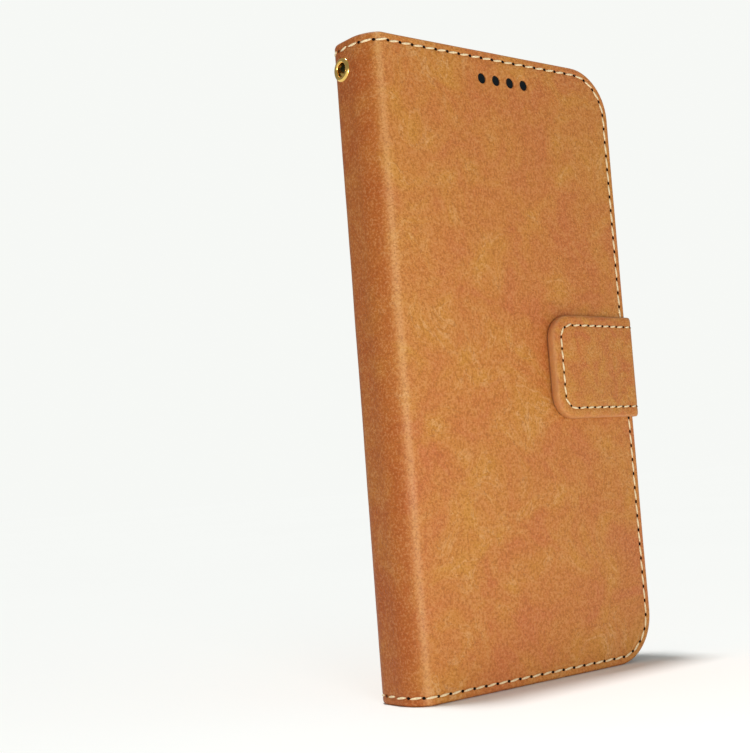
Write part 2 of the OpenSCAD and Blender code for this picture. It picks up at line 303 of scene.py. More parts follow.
@dataclass(frozen=True)
class LeatherFinish(Finish):
    """Waxed leather with clouds of tone, darker edges and seams, a pebble grain, painted shade on the spine
    and a painted highlight along the crest.
    """

    warm: tuple[float, float, float] = (0.5, 0.2, 0.06)
    pale: tuple[float, float, float] = (0.72, 0.4, 0.17)
    light: tuple[float, float, float] = (0.7, 0.4, 0.15)
    dark: tuple[float, float, float] = (0.2, 0.07, 0.02)
    cloud_scale: float = 38.0
    grain_scale: float = 1150.0
    edge: tuple[float, float, float] = (0.16, 0.05, 0.015)
    edge_share: float = 0.35
    # colour and strength of the painted shade on the spine past the crease
    deep: tuple[float, float, float] = (0.38, 0.075, 0.002)
    spine_shade_share: float = 0.85
    # share of the painted highlight along the crest, which also stands for paler stretched leather
    crest_highlight_share: float = 0.28
    bump: float = 0.55
    depth: float = 0.00025
    fleck_share: float = 0.5
    vein_share: float = 0.45

    def material(self, hide: bpy.types.NodeTree) -> bpy.types.Material:
        """Build the leather.

        Args:
            hide: the shared Hide group.

        Returns:
            The material.
        """
        material, graph, shader = self.start()
        group = graph.add("ShaderNodeGroup", node_tree=hide)
        graph.feed(group, "Vector", graph.place())
        group.inputs["Cloud Scale"].default_value = self.cloud_scale
        group.inputs["Grain Scale"].default_value = self.grain_scale
        patch, fleck = group.outputs["Patch"], group.outputs["Fleck"]

        # 0 on the cover, 1 past the crease: where the painted crest highlight and the painted spine shade
        #                                    go
        fold = graph.mark("fold")
        crest_band = graph.times(graph.span(fold, 0.0, 0.18), graph.span(fold, 0.6, 0.3))
        spine_shade_amount = graph.span(patch, 0.0, 1.0, self.spine_shade_share, self.spine_shade_share * 0.6)
        worn = graph.span(fleck, 0.0, 1.0, self.edge_share * 1.3, self.edge_share * 0.7)
        layers = (
            (graph.times(patch, 0.7), self.light),
            (graph.times(group.outputs["Vein"], self.vein_share), self.pale),
            # painted highlight along the crest
            (graph.times(crest_band, self.crest_highlight_share), self.pale),
            # painted shade over the spine, a little patchy
            (graph.times(graph.span(fold, 0.3, 0.8), spine_shade_amount), self.deep),
            (graph.times(graph.span(fleck, 0.5, 0.9), self.fleck_share * 0.55), self.pale),
            (graph.times(graph.span(fleck, 0.5, 0.0), self.fleck_share), self.dark),
            (graph.times(graph.mark("seam"), 0.28), self.dark),
            (graph.times(graph.mark("rim"), worn), self.edge),
        )
        tone = graph.blend(group.outputs["Cloud"], (*self.warm, 1.0), self.rgba())
        for share, colour in layers:
            tone = graph.blend(share, tone, (*colour, 1.0))
        graph.feed(shader, "Base Color", tone)

        sheen = graph.span(graph.math("ADD", patch, fleck), 0.0, 2.0, -0.07, 0.09)
        graph.feed(shader, "Roughness", graph.math("ADD", sheen, self.roughness))
        graph.bump(shader, group.outputs["Height"], self.bump, self.depth)
        shader.inputs["Specular IOR Level"].default_value = 0.3
        return material


@dataclass(frozen=True)
class ThreadFinish(Finish):
    """Waxed thread with a faint twist and uneven tone."""

    def material(self) -> bpy.types.Material:
        """Build the thread."""
        material, graph, shader = self.start()
        strand = graph.noise(graph.place(), 2600.0, 2.0)
        tone = graph.blend(graph.span(strand, 0.3, 0.7), self.rgba(0.68), self.rgba())
        graph.feed(shader, "Base Color", tone)
        graph.bump(shader, strand, 0.4, 0.0001)
        return material


@dataclass(frozen=True)
class RubberFinish(Finish):
    """Soft matte rubber with a fine satin texture."""

    gloss: float = 0.5

    def material(self) -> bpy.types.Material:
        """Build the rubber."""
        material, graph, shader = self.start()
        shader.inputs["Specular IOR Level"].default_value = self.gloss
        place = graph.place()
        dust = graph.noise(place, 90.0, 5.0)
        tone = graph.blend(graph.span(dust, 0.4, 0.75), self.rgba(), self.rgba(1.5))
        graph.feed(shader, "Base Color", tone)
        rough = graph.span(dust, 0.3, 0.7, self.roughness - 0.06, self.roughness + 0.06)
        graph.feed(shader, "Roughness", rough)
        graph.bump(shader, graph.noise(place, 5200.0, 2.0), 0.25, 0.00005)
        return material


@dataclass(frozen=True)
class MetalFinish(Finish):
    """Polished or plain metal with faint handling marks."""

    marks: float = 0.12

    def material(self) -> bpy.types.Material:
        """Build the metal."""
        material, graph, shader = self.start()
        shader.inputs["Metallic"].default_value = 1.0
        marks = graph.noise(graph.place(), 900.0, 6.0)
        rough = graph.span(marks, 0.35, 0.7, self.roughness, self.roughness + self.marks)
        graph.feed(shader, "Roughness", rough)
        tone = graph.blend(graph.span(marks, 0.4, 0.7), self.rgba(), self.rgba(0.82))
        graph.feed(shader, "Base Color", tone)
        graph.bump(shader, marks, 0.08, 0.00005)
        return material


class Wardrobe:
    """Every material of the case, built once."""

    def __init__(self) -> None:
        """Build the materials."""
        hide = hide_group()
        tan = LeatherFinish(
            "tan leather",
            (0.55, 0.185, 0.042),
            0.5,
            warm=(0.545, 0.143, 0.038),
            light=(0.58, 0.262, 0.032),
            dark=(0.27, 0.075, 0.014),
            grain_scale=2050.0,
            cloud_scale=17.0,
            bump=0.75,
            vein_share=0.6,
            fleck_share=0.48,
        )
        self.leather = tan.material(hide)
        self.strap = replace(
            tan, name="strap leather", colour=(0.53, 0.195, 0.036), edge=(0.58, 0.27, 0.11),
            edge_share=0.55, cloud_scale=45.0,
        ).material(hide)
        self.lining = LeatherFinish(
            "lining leather",
            (0.43, 0.19, 0.075),
            0.6,
            warm=(0.38, 0.155, 0.06),
            light=(0.5, 0.25, 0.11),
            dark=(0.2, 0.075, 0.03),
            cloud_scale=24.0,
            grain_scale=1900.0,
            bump=0.2,
            fleck_share=0.18,
        ).material(hide)
        self.board = LeatherFinish(
            "fibre board", (0.45, 0.42, 0.36), 0.85, warm=(0.4, 0.37, 0.3), light=(0.5, 0.47, 0.4),
            dark=(0.25, 0.22, 0.18), grain_scale=2500.0,
        ).material(hide)
        self.thread = ThreadFinish("cream thread", (0.98, 0.79, 0.48), 0.6).material()
        # near-black discs laid between the stitches: painted shade in the needle holes
        self.needle = RubberFinish("needle hole", (0.006, 0.003, 0.002), 0.95, gloss=0.1).material()
        # near-black discs set inside the sound holes, which make the holes read dark
        self.cloth = RubberFinish("dark speaker cloth", (0.002, 0.005, 0.007), 0.9, gloss=0.2).material()
        self.rubber = RubberFinish("tray rubber", (0.028, 0.052, 0.078), 0.52).material()
        self.brass = MetalFinish("polished brass", (0.92, 0.6, 0.17), 0.1).material()
        self.steel = MetalFinish("plain steel", (0.55, 0.55, 0.56), 0.35).material()


# ---------------------------------------------------------------- mesh makers


def shade_smooth(mesh: bpy.types.Mesh) -> None:
    """Shade a mesh smooth, with edges where its faces turn sharply."""
    mesh.polygons.foreach_set("use_smooth", [True] * len(mesh.polygons))
    mesh.set_sharp_from_angle(angle=SHARP_ANGLE)


def log_piece(piece: bpy.types.Object) -> None:
    """Log a piece's name and faces."""
    LOG.info("%s: %d faces", piece.name, len(piece.data.polygons))


def new_object(name: str, mesh: bpy.types.Mesh, material: bpy.types.Material | None) -> bpy.types.Object:
    """Link a smooth-shaded object for a mesh.

    Args:
        name: the object's name.
        mesh: its mesh, in metres.
        material: its only material, or None if the mesh has its own.

    Returns:
        The object.
    """
    if material:
        mesh.materials.clear()
        mesh.materials.append(material)
    shade_smooth(mesh)
    found = bpy.data.objects.new(name, mesh)
    bpy.context.scene.collection.objects.link(found)
    return found


def closed_mesh(name: str, points: Sequence[Vector], faces: Sequence[Sequence[int]]) -> bpy.types.Mesh:
    """Make a mesh of millimetre points with its faces turned outwards.

    Args:
        name: the mesh's name.
        points: its points.
        faces: its faces, by point number.

    Returns:
        The mesh, in metres.
    """
    mesh = bpy.data.meshes.new(name)
    mesh.from_pydata([tuple(p * MM) for p in points], [], faces)
    editable = bmesh.new()
    editable.from_mesh(mesh)
    bmesh.ops.recalc_face_normals(editable, faces=editable.faces)
    editable.to_mesh(mesh)
    editable.free()
    mesh.validate()
    return mesh


def evaluated_copy(source: bpy.types.Object) -> bpy.types.Mesh:
    """The plain mesh that an object's modifiers give."""
    graph = bpy.context.evaluated_depsgraph_get()
    return bpy.data.meshes.new_from_object(source.evaluated_get(graph))


def cut(target: bpy.types.Object, cutter: bpy.types.Mesh) -> None:
    """Cut a closed mesh out of an object, for good.

    Args:
        target: the object to cut.
        cutter: the closed mesh to take away.
    """
    tool = bpy.data.objects.new("cutter", cutter)
    bpy.context.scene.collection.objects.link(tool)
    modifier = target.modifiers.new("cut", "BOOLEAN")
    modifier.operation, modifier.solver, modifier.object = "DIFFERENCE", "EXACT", tool
    mesh = evaluated_copy(target)
    target.modifiers.clear()
    target.data = mesh
    shade_smooth(mesh)
    bpy.data.objects.remove(tool)


@dataclass
class SheetForm:
    """A leather sheet that follows a path, with an optional round-cornered end.

    The sheet is described flat: s runs along the path from the free end, z up. Its section at the
    edge is a list of (inset from the edge, depth under the path).
    """

    path: Callable[[float], PathPoint]
    length: float
    low: float
    high: float
    corner: float
    profile: Sequence[Point2]
    stations: Sequence[float]
    depth_at: Callable[[float, float], float]
    relief: Callable[[Vector], float] = lambda place: 0.0
    rows: int = 56
    arc_steps: int = 14
    seam_inset: float = 2.15
    fold_at: float = 1000.0
    fold_reach: float = 7.0

    def place(self, s: float, z: float, depth: float) -> Vector:
        """The point at s and z, depth under the path."""
        point, inward = self.path(s)
        flat = Vector((point.x, point.y, z))
        return flat + inward * (self.depth_at(s, depth) - self.relief(flat))

    def lower(self, inset: float) -> list[Point2]:
        """The lower half of the outline at an inset, from the far end to the free end."""
        line = [(s, self.low + inset) for s in self.stations]
        radius = self.corner - inset
        for step in range(1, self.arc_steps + 1 if self.corner else 0):
            angle = math.pi / 2 * step / self.arc_steps
            centre = self.low + self.corner
            line.append((self.corner - radius * math.sin(angle), centre - radius * math.cos(angle)))
        return line

    def build(self, name: str) -> bpy.types.Mesh:
        """Make the closed mesh, with the attributes seam, rim and fold.

        Args:
            name: the mesh's name.

        Returns:
            The mesh, in metres.
        """
        points: list[Vector] = []
        seam: list[float] = []
        rim: list[float] = []
        fold: list[float] = []
        faces: list[list[int]] = []

        def add(s: float, z: float, inset: float, depth: float) -> int:
            """Add a point with its attributes and return its number."""
            points.append(self.place(s, z, depth))
            seam.append(math.exp(-(((inset - self.seam_inset) / 0.45) ** 2)))
            rim.append(smooth(1.0 - inset / 0.7))
            # fold: 0 on the cover, 1 past the crease; the leather material paints shade on the spine and a
            # highlight along the crest by it
            fold.append(smooth((s - self.fold_at) / self.fold_reach))
            return len(points) - 1

        def quads(first: Sequence[int], second: Sequence[int]) -> None:
            """Join two rows of points with faces."""
            for a, b, c, d in zip(first, first[1:], second[1:], second):
                faces.append([a, b, c, d])

        rings: list[tuple[list[int], list[int], list[int]]] = []
        for inset, depth in self.profile:
            outline = self.lower(inset)
            top = self.low + self.high
            low = [add(s, z, inset, depth) for s, z in outline]
            high = [add(s, top - z, inset, depth) for s, z in outline]
            end: list[int] = []
            if self.corner:
                s, z = outline[-1]
                steps = [z + (top - 2 * z) * k / self.rows for k in range(1, self.rows)]
                end = [add(s, step, inset, depth) for step in steps]
            rings.append((low, end, high))
        for (low, end, high), (low2, end2, high2) in zip(rings, rings[1:]):
            quads(low, low2)
            quads(high, high2)
            if self.corner:
                quads([low[-1], *end, high[-1]], [low2[-1], *end2, high2[-1]])
        grids = [self.fill(rings[end], self.profile[end], add, quads) for end in (0, -1)]
        for column in (0,) if self.corner else (0, -1):
            outer, inner = grids[0][column], grids[1][column]
            over = [ring[2][column] for ring in rings[1:-1]]
            under = [ring[0][column] for ring in rings[1:-1]]
            faces.append([*outer, *over, *reversed(inner), *reversed(under)])
        mesh = closed_mesh(name, points, faces)
        for label, values in (("seam", seam), ("rim", rim), ("fold", fold)):
            mesh.attributes.new(label, "FLOAT", "POINT").data.foreach_set("value", values)
        return mesh

    def fill(self, ring: tuple, spec: Point2, add: Callable, quads: Callable) -> list[list[int]]:
        """Fill the sheet's face inside a ring.

        Args:
            ring: the ring's lower, end and upper points.
            spec: the ring's inset and depth.
            add: adds a point.
            quads: adds faces between two rows of points.

        Returns:
            The columns of points, from the far end to the free end.
        """
        low, end, high = ring
        inset, depth = spec
        columns = []
        for index, (s, z) in enumerate(self.lower(inset)):
            if end and index == len(low) - 1:
                columns.append([low[index], *end, high[index]])
                continue
            gap = self.low + self.high - 2 * z
            inner = [add(s, z + gap * k / self.rows, INNER_INSET, depth) for k in range(1, self.rows)]
            columns.append([low[index], *inner, high[index]])
        for first, second in zip(columns, columns[1:]):
            quads(first, second)
        return columns

    def seam_points(self, inset: float, depth: float, outer: bool) -> list[PathPoint]:
        """The line of a seam round the sheet and the direction out of the leather along it.

        Args:
            inset: the seam's distance from the edge.
            depth: how deep under the path it lies.
            outer: whether it is seen from outside the case.

        Returns:
            Points and outward directions, in millimetres.
        """
        count = max(2, round((self.length - self.corner) / SEAM_STEP))
        far = [self.length - (self.length - self.corner) * k / count for k in range(count + 1)]
        flat = [(s, self.low + inset) for s in far]
        radius = self.corner - inset
        centre, steps = self.low + self.corner, 24
        for k in range(1, steps + 1 if self.corner else 0):
            angle = math.pi / 2 * k / steps
            flat.append((self.corner - radius * math.sin(angle), centre - radius * math.cos(angle)))
        top = self.low + self.high
        flat += [(s, top - z) for s, z in reversed(flat)]
        facing = -1.0 if outer else 1.0
        return [(self.place(s, z, depth), self.path(s)[1] * facing) for s, z in flat]


def round_rect(x0: float, z0: float, x1: float, z1: float, radius: float, steps: int = 10) -> Callable:
    """Outline of a rounded rectangle.

    Args:
        x0: left side.
        z0: bottom.
        x1: right side.
        z1: top.
        radius: corner radius.
        steps: steps in each corner.

    Returns:
        A function from an inset to the outline's points; a negative inset grows it.
    """

    def outline(inset: float) -> list[Point2]:
        """The points of the outline at an inset."""
        r = max(radius - inset, 1e-3)
        corners = (
            (x1 - radius, z1 - radius, 0),
            (x0 + radius, z1 - radius, 1),
            (x0 + radius, z0 + radius, 2),
            (x1 - radius, z0 + radius, 3),
        )
        line = []
        for cx, cz, quarter in corners:
            for k in range(steps + 1):
                angle = math.pi / 2 * (quarter + k / steps)
                line.append((cx + r * math.cos(angle), cz + r * math.sin(angle)))
        return line

    return outline


def circle_outline(u: float, v: float, radius: float, steps: int) -> Callable:
    """Outline of a circle, as a function from an inset, with steps in each quarter."""
    return round_rect(u - radius, v - radius, u + radius, v + radius, radius, steps)


def plate(name: str, outline: Callable, levels: Sequence[Point2], place: Callable) -> bpy.types.Mesh:
    """Closed solid of stacked outlines with flat ends.

    Args:
        name: the mesh's name.
        outline: points of the outline at an inset.
        levels: (inset, level) pairs from one end to the other.
        place: gives the point for an outline's two coordinates and a level.

    Returns:
        The mesh, in metres.
    """
    points: list[Vector] = []
    rings = []
    for inset, level in levels:
        ring = outline(inset)
        rings.append(range(len(points), len(points) + len(ring)))
        points += [place(u, v, level) for u, v in ring]
    faces = [list(rings[0]), list(rings[-1])]
    for first, second in zip(rings, rings[1:]):
        count = len(first)
        for k in range(count):
            faces.append([first[k], first[(k + 1) % count], second[(k + 1) % count], second[k]])
    return closed_mesh(name, points, faces)


def roundover(reach: float, radius: float) -> list[Point2]:
    """Levels of a cutter that leaves a rounded edge: (inset, level) from above the face to reach below."""
    steps = 6
    arc = []
    for k in range(steps + 1):
        angle = math.pi / 2 * k / steps
        arc.append((-radius * (1 - math.sin(angle)), radius * (1 - math.cos(angle))))
    return [(-radius, -1.0), *arc, (0.0, reach)]


# ---------------------------------------------------------------- stitches


def stitch_tree() -> bpy.types.NodeTree:
    """Geometry nodes that lay one small grain per stitch along a seam.

    The seam is a line of edges with the vector attribute out, which points away from the leather.

    Returns:
        The tree.
    """
    tree = bpy.data.node_groups.new("Stitches", "GeometryNodeTree")
    add_sockets(
        tree,
        "INPUT",
        {
            "Geometry": ("Geometry", None),
            "Pitch": ("Float", 0.004),
            "Length": ("Float", 0.003),
            "Width": ("Float", 0.0007),
            "Height": ("Float", 0.0005),
            "Slant": ("Float", 0.15),
            "Unevenness": ("Float", 0.04),
            "Seed": ("Int", 7),
            "Material": ("Material", None),
        },
    )
    add_sockets(tree, "OUTPUT", {"Geometry": ("Geometry", None)})
    graph = Graph(tree)
    given = graph.add("NodeGroupInput").outputs
    curve = graph.add("GeometryNodeMeshToCurve", {"Mesh": given["Geometry"]})
    spaced = graph.add(
        "GeometryNodeResampleCurve", {"Curve": curve.outputs[0], "Length": given["Pitch"]}, mode="LENGTH"
    )
    along = graph.add("GeometryNodeInputTangent").outputs[0]
    out = graph.add("GeometryNodeInputNamedAttribute", {"Name": "out"}, data_type="FLOAT_VECTOR")
    turn = graph.add("FunctionNodeAlignRotationToVector", {"Vector": along}, axis="X")
    face = graph.add(
        "FunctionNodeAlignRotationToVector",
        {"Rotation": turn.outputs[0], "Vector": out.outputs[0]},
        axis="Z",
        pivot_axis="X",
    )
    wobble = graph.add("FunctionNodeRandomValue", {"Seed": given["Seed"]}, data_type="FLOAT")
    spread = graph.times(graph.math("SUBTRACT", wobble.outputs[1], 0.5), given["Unevenness"])
    slant = graph.add("ShaderNodeCombineXYZ", {"Z": graph.math("ADD", given["Slant"], spread)})
    spin = graph.add(
        "FunctionNodeRotateRotation",
        {"Rotation": face.outputs[0], "Rotate By": slant.outputs[0]},
        rotation_space="LOCAL",
    )
    size = graph.add(
        "ShaderNodeCombineXYZ", {"X": given["Length"], "Y": given["Width"], "Z": given["Height"]}
    )
    grain = graph.add("GeometryNodeMeshUVSphere", {"Segments": 8, "Rings": 7, "Radius": 0.5})
    shaped = graph.add("GeometryNodeTransform", {"Geometry": grain.outputs[0], "Scale": size.outputs[0]})
    row = graph.add(
        "GeometryNodeInstanceOnPoints",
        {"Points": spaced.outputs[0], "Instance": shaped.outputs[0], "Rotation": spin.outputs[0]},
    )
    real = graph.add("GeometryNodeRealizeInstances", {"Geometry": row.outputs[0]})
    dressed = graph.add(
        "GeometryNodeSetMaterial", {"Geometry": real.outputs[0], "Material": given["Material"]}
    )
    end = graph.add("NodeGroupOutput")
    tree.links.new(dressed.outputs[0], end.inputs[0])
    return tree


@dataclass(frozen=True)
class Stitching:
    """One kind of seam: its pitch and the size of its thread and of the dark discs that paint shade in its
    needle holes.
    """

    tree: bpy.types.NodeTree
    pitch: float = 3.97
    thread: float = 3.25
    width: float = 0.6
    height: float = 0.5
    slant: float = 0.12
    hole: float = 0.85

    def rows(
        self, name: str, lines: Sequence[Sequence[PathPoint]], **size: object
    ) -> bpy.types.Object:
        """Run the tree along some seams.

        Args:
            name: the piece's name.
            lines: the seams, as points and outward directions in millimetres.
            size: values for the tree's inputs, by name.

        Returns:
            The object, a plain mesh.
        """
        points: list[Vector] = []
        edges: list[tuple[int, int]] = []
        outward: list[float] = []
        for line in lines:
            first = len(points)
            points += [point * MM for point, _ in line]
            edges += [(k, k + 1) for k in range(first, first + len(line) - 1)]
            outward += [value for _, way in line for value in way]
        mesh = bpy.data.meshes.new(name)
        mesh.from_pydata([tuple(p) for p in points], edges, [])
        mesh.attributes.new("out", "FLOAT_VECTOR", "POINT").data.foreach_set("vector", outward)
        source = bpy.data.objects.new(name + "_seam", mesh)
        bpy.context.scene.collection.objects.link(source)
        modifier = source.modifiers.new("stitches", "NODES")
        modifier.node_group = self.tree
        sockets = {
            item.name: item.identifier
            for item in self.tree.interface.items_tree
            if item.item_type == "SOCKET" and item.in_out == "INPUT"
        }
        for key, value in size.items():
            modifier[sockets[key.capitalize()]] = value
        made = evaluated_copy(source)
        bpy.data.objects.remove(source)
        return new_object(name, made, None)

    def sew(
        self, name: str, lines: Sequence[Sequence[PathPoint]], wardrobe: Wardrobe
    ) -> tuple[bpy.types.Object, bpy.types.Object]:
        """Make a seam's threads and the dark discs that paint the shade of its needle holes.

        Args:
            name: the seam's name.
            lines: its lines, as points and outward directions.
            wardrobe: the materials.

        Returns:
            The threads and the holes.
        """
        long = sum((b[0] - a[0]).length for a, b in zip(lines[0], lines[0][1:]))
        pitch = long / max(1, round(long / self.pitch))
        between = [trimmed(list(line), pitch / 2) for line in lines]
        threads = self.rows(
            name + "_threads", lines, pitch=pitch * MM * SPACING_SLACK, length=self.thread * MM,
            width=self.width * MM, height=self.height * MM, slant=self.slant, material=wardrobe.thread,
        )
        # flat near-black discs between the threads: painted shade in the needle holes
        holes = self.rows(
            name + "_needle_holes", between, pitch=pitch * MM * SPACING_SLACK,
            length=self.hole * MM * 1.15,
            width=self.hole * MM, height=0.2 * MM, slant=0.0, unevenness=0.0, material=wardrobe.needle,
        )
        return threads, holes


def trimmed(line: list[PathPoint], length: float) -> list[PathPoint]:
    """Cut a length off both ends of a seam line.

    Args:
        line: points and outward directions.
        length: length to cut at each end.

    Returns:
        The shorter line.
    """
    for _ in range(2):
        left = length
        while len(line) > 2 and left > 0:
            step = (line[1][0] - line[0][0]).length
            if step > left:
                share = left / step
                line[0] = (line[0][0].lerp(line[1][0], share), line[0][1].lerp(line[1][1], share))
                break
            left -= step
            line = line[1:]
        line = line[::-1]
    return line


# ---------------------------------------------------------------- paths


class Course:
    """A path through the section of the case, given by points in X and Y."""

    def __init__(self, points: Sequence[Point2], turn: int) -> None:
        """Measure the path.

        Args:
            points: its points, from the free end.
            turn: 1 where the case lies to the left of the path, -1 to the right.
        """
        self.points = [Vector((x, y, 0.0)) for x, y in points]
        self.marks = [0.0]
        ways = []
        for a, b in zip(self.points, self.points[1:]):
            self.marks.append(self.marks[-1] + (b - a).length)
            ways.append((b - a).normalized())
        corners = [ways[0], *((a + b).normalized() for a, b in zip(ways, ways[1:])), ways[-1]]
        self.inward = [Vector((-turn * way.y, turn * way.x, 0.0)) for way in corners]

    @property
    def length(self) -> float:
        """Length of the whole path."""
        return self.marks[-1]

    def __call__(self, s: float) -> PathPoint:
        """The point at s and the direction into the case there."""
        index = 0
        while index < len(self.marks) - 2 and self.marks[index + 1] < s:
            index += 1
        low, high = self.marks[index], self.marks[index + 1]
        share = (s - low) / (high - low)
        point = self.points[index].lerp(self.points[index + 1], share)
        return point, self.inward[index].lerp(self.inward[index + 1], min(1, max(0, share))).normalized()


def arc_points(cx: float, cy: float, radius: float, start: float, end: float, steps: int) -> list[Point2]:
    """Points of an arc.

    Args:
        cx: centre along X.
        cy: centre along Y.
        radius: its radius.
        start: first angle, in degrees from +X.
        end: last angle.
        steps: number of steps.

    Returns:
        The points, both ends included.
    """
    angles = [math.radians(start + (end - start) * k / steps) for k in range(steps + 1)]
    return [(cx + radius * math.cos(a), cy + radius * math.sin(a)) for a in angles]


# ---------------------------------------------------------------- the cover


def wrinkle(place: Vector) -> float:
    """Slight unevenness of a leather face, in millimetres."""
    return 0.07 * noise.noise(place * 0.045) + 0.03 * noise.noise(place * 0.16)


@dataclass
class Cover:
    """One cover and its half of the spine: outer leather, lining, seams, and dark discs of painted shade in
    the needle holes.
    """

    side: Side
    wardrobe: Wardrobe
    stitching: Stitching
    sizes: CaseSizes = field(default_factory=CaseSizes)
    seam_inset: float = 2.15
    thread_depth: float = 0.12
    lining_thread_depth: float = 2.34
    window: tuple[float, float, float, float] = (-2.1, 123.2, 36.9, 162.2)
    window_corner: float = 11.0
    hole_row: tuple[float, float, float, float] = (1.7, 159.3, 5.1, 1.42)
    eyelet_bore: float = 2.15

    BEND = (3.4, 0.6, 4.0)  # the bend's reach on the cover, its depth there, its reach on the spine
    CREASE = {Side.FRONT: ((3.0, 40), (9.0, 50)), Side.BACK: ((4.5, 90),)}
    OUTER = (
        (3.6, 0.0), (3.0, 0.0), (2.65, 0.04), (2.38, 0.14), (2.15, 0.18), (1.92, 0.14), (1.65, 0.04),
        (1.3, 0.0), (1.0, 0.02), (0.7, 0.08), (0.45, 0.2), (0.22, 0.42), (0.07, 0.7), (0.0, 1.0),
        (0.03, 1.35), (0.14, 1.6), (0.36, 1.76), (0.7, 1.8), (3.0, 1.8), (3.05, 1.0),
    )
    LINING = (
        (3.4, 1.84), (0.6, 1.84), (0.42, 1.86), (0.34, 1.95), (0.32, 2.1), (0.36, 2.26), (0.5, 2.36),
        (0.8, 2.4), (1.65, 2.4), (1.92, 2.34), (2.15, 2.3), (2.38, 2.34), (2.65, 2.4), (3.2, 2.4),
    )

    @property
    def name(self) -> str:
        """The side's name in lower case."""
        return self.side.name.lower()

    @property
    def face(self) -> float:
        """Plane of the cover's outer face."""
        return self.sizes.front if self.side is Side.FRONT else self.sizes.back

    def roll(self) -> list[Point2]:
        """The outer face's points round the crease, from the cover to the spine."""
        x, y, heading = 0.0, 0.0, 0.0
        points = [(x, y)]
        for radius, degrees in self.CREASE[self.side]:
            for _ in range(8):
                turned = heading + math.radians(degrees) / 8
                x -= radius * (math.sin(turned) - math.sin(heading))
                y += radius * (math.cos(heading) - math.cos(turned))
                heading = turned
                points.append((x, y))
        return [(self.sizes.spine + u - x, self.face + self.side.value * v) for u, v in points]

    def course(self) -> Course:
        """The outer face's path, from the free edge round the crease to the middle of the spine."""
        sizes = self.sizes
        ends = (sizes.edge, self.face), (sizes.spine, sizes.middle)
        return Course([ends[0], *self.roll(), ends[1]], -self.side.value)

    def depth_at(self, s: float, depth: float) -> float:
        """Depth under the path, thinner on the spine."""
        bend = self.sizes.edge - self.roll()[0][0]
        thin = 1 - self.sizes.spine_wall / self.sizes.panel
        return depth * (1 - thin * smooth((s - bend + 2.0) / 5.5))

    def form(self, profile: Sequence[Point2]) -> SheetForm:
        """A sheet on the cover's path.

        Args:
            profile: its section at the edge.

        Returns:
            The sheet's form.
        """
        course = self.course()
        bend, roll_end = course.marks[1], course.marks[-2]
        stations = [course.length - (course.length - roll_end) * k / 3 for k in range(3)]
        stations += course.marks[-2:0:-1]
        count = 24
        stations += [bend - (bend - self.sizes.corner) * k / count for k in range(1, count + 1)]
        return SheetForm(
            course, course.length, 0.0, self.sizes.height, self.sizes.corner, profile, stations,
            self.depth_at, wrinkle, fold_at=bend - 0.5,
        )

    def hang(self, piece: bpy.types.Object) -> None:
        """Bake a piece's place into its mesh."""
        along, inward, down = self.BEND
        if self.side is Side.FRONT:
            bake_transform(piece)
        else:
            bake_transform(piece)

    def open_holes(self, leather: bpy.types.Object, lining: bpy.types.Object) -> None:
        """Cut the camera window and eyelet hole, or the sound holes.

        Args:
            leather: the outer leather.
            lining: its lining.
        """
        way = self.side.value

        def on_face(u: float, v: float, level: float) -> Vector:
            """A point under the cover's outer face."""
            return Vector((u, self.face + way * level, v))

        if self.side is Side.BACK:
            x0, z0, x1, z1 = self.window
            rim = round_rect(x0, z0, x1, z1, self.window_corner)
            cut(leather, plate("window", rim, roundover(6.0, 0.55), on_face))
            cut(lining, plate("window", rim, [(-0.1, -1.0), (-0.1, 6.0)], on_face))
            ring = circle_outline(*EYELET_PLACE, self.eyelet_bore, 8)

            def on_spine(u: float, v: float, level: float) -> Vector:
                """A point under the spine's outer face."""
                return Vector((self.sizes.spine + level, u, v))

            for sheet in (leather, lining):
                cut(sheet, plate("bore", ring, [(0, -1.0), (0, 4.0)], on_spine))
            return
        middle, z, pitch, radius = self.hole_row
        for k in range(4):
            ring = circle_outline(middle + pitch * (k - 1.5), z, radius, 7)
            cut(leather, plate("sound_hole", ring, roundover(6.0, 0.25), on_face))
            cut(lining, plate("sound_hole", ring, [(0, -1.0), (0, 6.0)], on_face))
            # a thin near-black disc set inside each sound hole, under the face
            levels = [(0.06, 0.4), (0.02, 0.45), (0.02, 0.75), (0.06, 0.8)]
            cloth = new_object(
                f"sound_hole_cloth_{k + 1}", plate("cloth", ring, levels, on_face), self.wardrobe.cloth
            )
            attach(cloth, "front")

    def build(self) -> None:
        """Build the leather, the lining and both rows of stitches."""
        outer, inner = self.form(self.OUTER), self.form(self.LINING)
        leather = new_object(f"cover_leather_{self.name}", outer.build("leather"), self.wardrobe.leather)
        lining = new_object(f"cover_lining_{self.name}", inner.build("lining"), self.wardrobe.lining)
        self.open_holes(leather, lining)
        half = self.stitching.pitch / 2
        outside = trimmed(outer.seam_points(self.seam_inset, self.thread_depth, True), half)
        inside = trimmed(inner.seam_points(self.seam_inset, self.lining_thread_depth, False), half)
        seam = self.stitching.sew(f"{self.name}_seam", [outside], self.wardrobe)
        back_seam = self.stitching.sew(f"{self.name}_lining_seam", [inside], self.wardrobe)
        for piece in (leather, lining, *seam, *back_seam):
            self.hang(piece)
            log_piece(piece)
        for piece, part in ((leather, "skin"), (lining, "lining"), (seam[0], "seam_thread")):
            spine = [f"spine_{part}"] if self.side is Side.BACK else []
            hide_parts(f"{self.name}_{part}", *spine)
        f"{self.name}_board"
        f"{self.name}_board"


# ---------------------------------------------------------------- the strap


